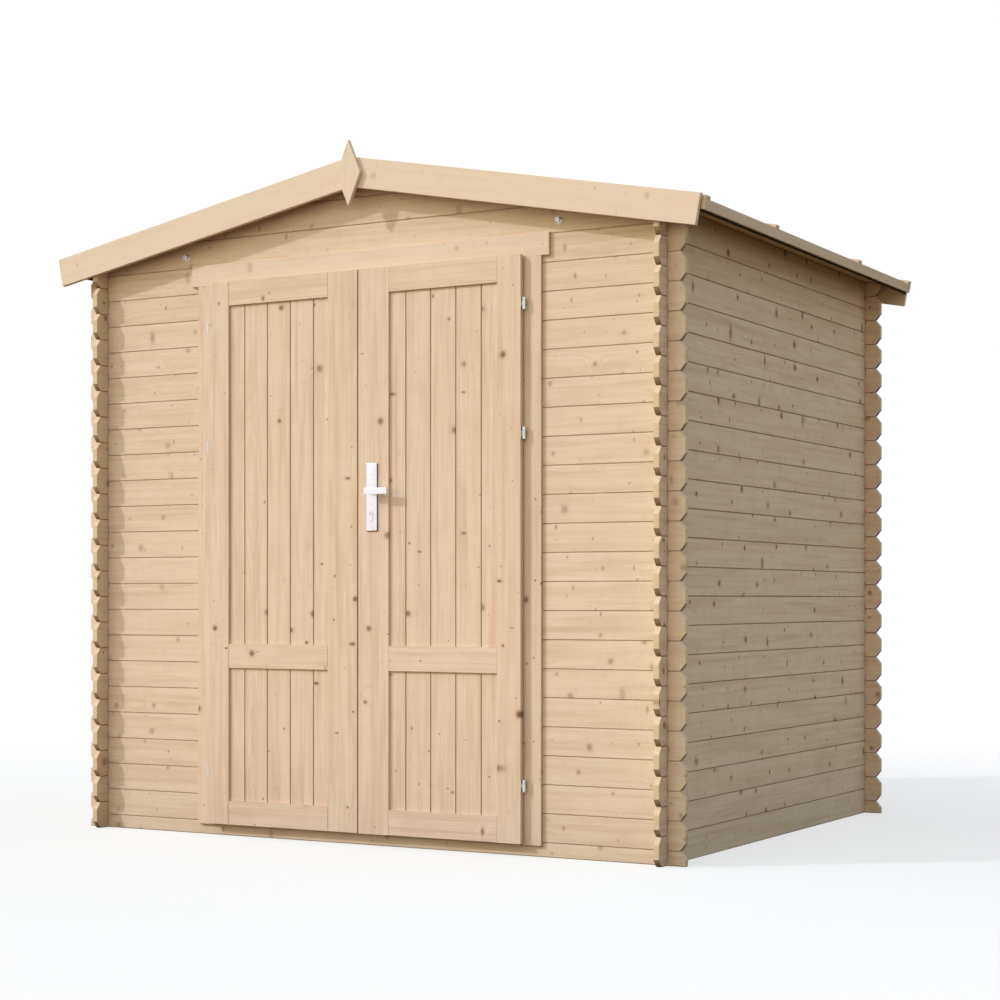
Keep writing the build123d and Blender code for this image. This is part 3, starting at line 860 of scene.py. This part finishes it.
class SHED_OT_handle(bpy.types.Operator):
    """Makes the bordered plates, the lock cylinder and the rounded lever"""
    bl_idname = "shed.handle"
    bl_label = "Handle"

    # The lower share of the plate's thickness is a dark layer shifted right and down: painted shade for the
    # plate's shaded sides and its shadow on the door
    shade_layer_share = 0.62
    shade_layer_shift = RIGHT * 0.0002 - UP * 0.0014
    border_share = 0.84
    plate_round = 0.0010
    screw = ((0.0030, 0.0), (0.0030, 0.0006), (0.0018, 0.0013))
    screw_inset = 0.0125
    cylinder_radius = 0.0078
    cylinder_slot = 0.0046
    cylinder_drop = 0.0725
    cylinder_tail = 0.0235
    cylinder_proud = 0.0008
    cylinder_gap = 0.0007
    key_width = 0.0011
    key_height = 0.0042
    gap_share = 0.4
    key_share = 1.2
    key_corner_share = 0.9
    boss_radius = 0.009
    boss_gap = 0.0004
    spindle_radius = 0.004
    boss_shares = ((1.25, 0), (1.25, 0.18), (1.05, 0.28), (0.80, 0.45), (0.80, 0.75), (0.92, 1.02))

    def plate(self, context, node, outward):
        """A plate with a lower border and screws at both ends."""
        metal_sizes = context.scene.shed_metal
        low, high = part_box(node)
        middle = (low + high) / 2
        wall = high.y if outward.y < 0 else low.y
        face = low.y if outward.y < 0 else high.y
        foot = Vector((middle.x, wall, middle.z))
        thick = abs(face - wall)
        edge = thick * self.shade_layer_share
        # The first layer is the dark painted shade under the plate; the other two are the aluminium plate
        layers = ((bmesh.new(), 0, 0, edge), (bmesh.new(), 0, edge, thick * self.border_share))
        layers += ((layers[1][0], metal_sizes.plate_border, edge, thick),)
        for layer, (mesh, inset, start, stop) in enumerate(layers):
            shift = outward * start if layer else self.shade_layer_shift
            outline = rounded_outline((high.x - low.x) / 2 - inset, (high.z - low.z) / 2 - inset,
                                      metal_sizes.plate_corner)
            points = [foot + RIGHT * across + UP * up + shift for across, up in outline]
            add_prism(mesh, points, outward * (stop - start))
        add_piece(f"{node}_plate_shade.dark", layers[0][0], "key_slot", "right_door")
        bmesh.ops.recalc_face_normals(mesh, faces=mesh.faces)
        mesh.normal_update()
        rims = [rim for rim in mesh.edges if rim.calc_face_angle(0) > SHARP
                and all(abs(vert.co.y - foot.y) > edge + WELD for vert in rim.verts)]
        bevel(mesh, rims, self.plate_round, 3)
        for end in (low.z + self.screw_inset, high.z - self.screw_inset):
            add_turned(mesh, Vector((middle.x, face, end)), outward, self.screw)
        add_piece(f"{node}.metal", mesh, "satin_aluminium", "right_door", (node,), True)
        return Vector((middle.x, face, 0))

    def lock(self, name, place, outward):
        """The face of a lock cylinder and the key slot in it."""
        arc = [math.radians(angle) for angle in range(-55, 236, 15)]
        # The gap round the cylinder and the key slot are dark prisms standing out of the face: painted shade for a
        # gap and a hole
        faces = (("gap_shade.dark", "key_slot", self.cylinder_gap, self.cylinder_proud * self.gap_share),
                 ("lock.metal", "satin_aluminium", 0, self.cylinder_proud))
        for part, material, wider, proud in faces:
            radius = self.cylinder_radius + wider
            slot = self.cylinder_slot + wider
            tail = self.cylinder_tail + wider
            outline = [(math.cos(angle) * radius, math.sin(angle) * radius) for angle in arc]
            outline += [(-slot, -tail), (slot, -tail)]
            mesh = bmesh.new()
            add_prism(mesh, [place + RIGHT * across + UP * up for across, up in outline], outward * proud)
            add_piece(f"{name}_{part}", mesh, material, "right_door")
        slot = rounded_outline(self.key_width, self.key_height, self.key_width * self.key_corner_share, 3)
        mesh = bmesh.new()
        points = [place + RIGHT * across + UP * up for across, up in slot]
        add_prism(mesh, points, outward * self.cylinder_proud * self.key_share)
        add_piece(f"{name}_key_slot.dark", mesh, "key_slot", "right_door")

    def lever(self, context, spindle, plates):
        """Two levers on bosses, joined by the spindle."""
        metal_sizes = context.scene.shed_metal
        low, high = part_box("lever_handle")
        half = (high.z - low.z) / 2
        thick = metal_sizes.lever_thick
        sides = ((-BACK, low.y, plates[0].y), (BACK, high.y, plates[1].y))
        mesh = bmesh.new()
        for outward, tip, _ in sides:
            middle = Vector(((low.x + high.x) / 2, tip, spindle.z))
            outline = rounded_outline((high.x - low.x) / 2, half, metal_sizes.lever_corner)
            add_prism(mesh, [middle + RIGHT * across + UP * up for across, up in outline], -outward * thick)
        bmesh.ops.recalc_face_normals(mesh, faces=mesh.faces)
        mesh.normal_update()
        rims = [edge for edge in mesh.edges if edge.calc_face_angle(0) > SHARP]
        bevel(mesh, rims, metal_sizes.lever_round, 4)
        for outward, tip, plate in sides:
            reach = abs(tip - plate) - thick
            foot = Vector((spindle.x, plate, spindle.z)) + outward * self.boss_gap
            boss = [(self.boss_radius * wide, reach * far) for wide, far in self.boss_shares]
            add_turned(mesh, foot, outward, boss, 28)
        bar = abs(plates[0].y - plates[1].y)
        add_turned(mesh, Vector((spindle.x, plates[0].y, spindle.z)), BACK,
                   ((self.spindle_radius, 0), (self.spindle_radius, bar)), 8)
        add_piece("lever_handle.metal", mesh, "satin_aluminium", "lever",
                  ("lever_handle",), True)

    def execute(self, context):
        turn = next(joint for joint in frame["joints"] if joint["name"] == "lever_turn")
        spindle = Vector(turn["pos_m"])
        plates = []
        for name, outward in (("outer", -BACK), ("inner", BACK)):
            place = self.plate(context, f"{name}_handle_plate", outward)
            plates.append(place)
            place = Vector((place.x, place.y, spindle.z - self.cylinder_drop))
            self.lock(f"{name}_handle", place, outward)
        self.lever(context, spindle, plates)
        return {"FINISHED"}


class SHED_OT_bolts(bpy.types.Operator):
    """Adds the bolts that hold the side purlins to the gables"""
    bl_idname = "shed.bolts"
    bl_label = "Purlin bolts"

    purlin_half = 0.022
    rise = 0.055
    washer = 0.002
    washer_shares = ((1, 0), (1, 0.7), (0.94, 1))
    head_shares = ((1, 0.88), (0.86, 1), (0.42, 1), (0.40, 0.72))

    def execute(self, context):
        sizes = context.scene.shed_metal
        low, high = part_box("side_purlins")
        centre = high.x - self.purlin_half
        height = low.z + self.rise
        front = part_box("front_sill_log")[0].y
        profile = [(sizes.washer_radius * wide, self.washer * tall) for wide, tall in self.washer_shares]
        profile.append((sizes.bolt_radius, self.washer))
        profile += [(sizes.bolt_radius * wide, sizes.bolt_height * tall) for wide, tall in self.head_shares]
        mesh = bmesh.new()
        for outward in (-BACK, BACK):
            for x in (-centre, centre):
                foot = Vector((x, front if outward.y < 0 else -front, height))
                add_turned(mesh, foot, outward, profile, 24)
        add_piece("purlin_bolts.metal", mesh, "zinc_steel", "shed", smooth=True)
        return {"FINISHED"}


class SHED_OT_nails(bpy.types.Operator):
    """Adds the nail heads of the header"""
    bl_idname = "shed.nails"
    bl_label = "Nails"

    inset = 0.022
    proud = 0.0008

    def execute(self, context):
        radius = context.scene.shed_metal.nail_radius
        low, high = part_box("door_header")
        mesh = bmesh.new()
        for x in (low.x + self.inset, high.x - self.inset):
            add_turned(mesh, Vector((x, low.y, (low.z + high.z) / 2)), -BACK, (
                (radius, -self.proud), (radius, self.proud * 0.4), (radius * 0.7, self.proud)), 12)
        add_piece("nails.metal", mesh, "nail_steel", "shed", smooth=True)
        return {"FINISHED"}


class SHED_OT_stage(bpy.types.Operator):
    """Sets the camera, the light and a pale floor"""
    bl_idname = "shed.stage"
    bl_label = "Stage"

    sensor = 36
    farthest = 200
    warm_ease = (0.0, 0.80)
    cool_ease = (0.10, 0.85)
    zenith_ease = (0.15, 0.60)
    low_ease = (-0.06, -0.26)
    fade_shares = (0.42, 0.98)

    def camera(self, stage):
        data = bpy.data.cameras.new("camera")
        data.sensor_width = self.sensor
        data.lens = stage.lens
        data.shift_y = stage.horizon
        data.clip_end = self.farthest
        camera = bpy.data.objects.new("camera", data)
        bpy.context.scene.collection.objects.link(camera)
        camera.location = stage.eye
        camera.rotation_euler = (math.radians(90), 0, stage.heading)
        bpy.context.scene.camera = camera

    def sun(self, stage):
        data = bpy.data.lights.new("key light", "SUN")
        data.energy = stage.sun_power
        data.angle = stage.sun_spread
        data.color = stage.sun_colour
        sun = bpy.data.objects.new("key light", data)
        bpy.context.scene.collection.objects.link(sun)
        sun.rotation_mode = "QUATERNION"
        sun.rotation_quaternion = Vector(stage.sun_travel).to_track_quat("-Z", "Y")

    def seen(self, graph):
        """1 for the rays that show the backdrop itself, 0 for those that light the shed."""
        path = graph.add("ShaderNodeLightPath")
        return (graph.value(path, "Is Camera Ray") + graph.value(path, "Is Glossy Ray")
                + graph.value(path, "Is Transmission Ray"))

    def world(self, stage):
        """Warm fill from one side, cool fill from the other, and white where the backdrop shows."""
        world = bpy.data.worlds.new("studio")
        world.use_nodes = True
        bpy.context.scene.world = world
        graph = Graph(world.node_tree)
        way = graph.add("ShaderNodeTexCoord").outputs["Generated"]
        tone = tuple(stage.plain_fill)
        for place, fill, limits in ((stage.warm_from, stage.warm_fill, self.warm_ease),
                                    (stage.cool_from, stage.cool_fill, self.cool_ease)):
            sockets = {0: way, 1: Vector(place).normalized()}
            facing = graph.add("ShaderNodeVectorMath", {"operation": "DOT_PRODUCT"}, sockets)
            tone = graph.mix(graph.ease(graph.value(facing, "Value"), *limits), tone, tuple(fill))
        _, _, height = graph.split(way)
        high = graph.ease(height, *self.zenith_ease)
        tint = graph.mix(high, tuple(stage.horizon_tint), tuple(stage.zenith_tint))
        tone = graph.mix(1.0, tone, tint, "MULTIPLY")
        tone = graph.mix(graph.ease(height, *self.low_ease), tone, tuple(stage.low_fill))
        fill = graph.add("ShaderNodeBackground", None, {"Color": tone, "Strength": stage.fill_power})
        white = graph.add("ShaderNodeBackground", None, {"Color": (1, 1, 1, 1), "Strength": 1.0})
        both = graph.add("ShaderNodeMixShader", None, {
            0: self.seen(graph), 1: fill.outputs[0], 2: white.outputs[0]})
        graph.add("ShaderNodeOutputWorld", None, {"Surface": both.outputs[0]})

    def floor(self, stage):
        """A pale disc that fades into the backdrop and throws little light back."""
        mesh = bmesh.new()
        bmesh.ops.create_circle(mesh, cap_ends=True, segments=96, radius=stage.floor_radius)
        data = bpy.data.meshes.new("floor")
        mesh.to_mesh(data)
        mesh.free()
        material, graph = new_graph("floor")
        place = graph.add("ShaderNodeTexCoord").outputs["Object"]
        x, y, _ = graph.split(place)
        away = (x * x + y * y) ** 0.5
        bounce = graph.add("ShaderNodeBsdfDiffuse", None, {"Color": (*stage.bounce, 1)})
        pale = graph.add("ShaderNodeBsdfDiffuse", None, {"Color": (*stage.floor, 1)})
        glow = graph.add("ShaderNodeEmission", None, {"Color": (1, 1, 1, 1), "Strength": 1.0})
        clear = graph.add("ShaderNodeBsdfTransparent")
        glowing = graph.add("ShaderNodeMixShader", None, {
            0: stage.floor_glow, 1: pale.outputs[0], 2: glow.outputs[0]})
        shown = graph.add("ShaderNodeMixShader", None, {
            0: self.seen(graph), 1: bounce.outputs[0], 2: glowing.outputs[0]})
        fade = graph.ease(away, *(stage.floor_radius * share for share in self.fade_shares))
        faded = graph.add("ShaderNodeMixShader", None, {0: fade, 1: shown.outputs[0], 2: clear.outputs[0]})
        graph.surface(faded)
        data.materials.append(material)
        floor = bpy.data.objects.new("floor", data)
        bpy.context.scene.collection.objects.link(floor)

    def execute(self, context):
        stage = context.scene.shed_stage
        self.camera(stage)
        self.sun(stage)
        self.world(stage)
        self.floor(stage)
        context.scene.view_settings.view_transform = "Standard"
        return {"FINISHED"}


SETTINGS = {
    "shed_wood": ShedWood, "shed_roofing": ShedRoofing, "shed_metal": ShedMetal, "shed_stage": ShedStage,
}
OPERATORS = (
    SHED_OT_stage, SHED_OT_log_walls, SHED_OT_door_frame, SHED_OT_roof_beams, SHED_OT_roof_deck,
    SHED_OT_roof_felt, SHED_OT_roof_trim, SHED_OT_doors, SHED_OT_hinges, SHED_OT_handle, SHED_OT_bolts,
    SHED_OT_nails,
)


class SHED_PT_panel(bpy.types.Panel):
    """Lists the pieces of the shed and their settings"""
    bl_idname = "SHED_PT_panel"
    bl_label = "Garden shed"
    bl_space_type = "VIEW_3D"
    bl_region_type = "UI"
    bl_category = "Shed"

    def draw(self, context):
        for operator in OPERATORS:
            self.layout.operator(operator.bl_idname)
        for name in SETTINGS:
            group = getattr(context.scene, name)
            box = self.layout.box()
            for prop in group.bl_rna.properties:
                if prop.identifier not in ("rna_type", "name"):
                    box.prop(group, prop.identifier)


def register():
    for group in SETTINGS.values():
        bpy.utils.register_class(group)
    for name, group in SETTINGS.items():
        setattr(bpy.types.Scene, name, bpy.props.PointerProperty(type=group))
    for operator in OPERATORS:
        bpy.utils.register_class(operator)
    bpy.utils.register_class(SHED_PT_panel)


def unregister():
    bpy.utils.unregister_class(SHED_PT_panel)
    for operator in reversed(OPERATORS):
        bpy.utils.unregister_class(operator)
    for name in SETTINGS:
        delattr(bpy.types.Scene, name)
    for group in SETTINGS.values():
        bpy.utils.unregister_class(group)


def main():
    register()
    for operator in OPERATORS:
        group, name = operator.bl_idname.split(".")
        getattr(getattr(bpy.ops, group), name)()


if __name__ == "__main__":
    main()
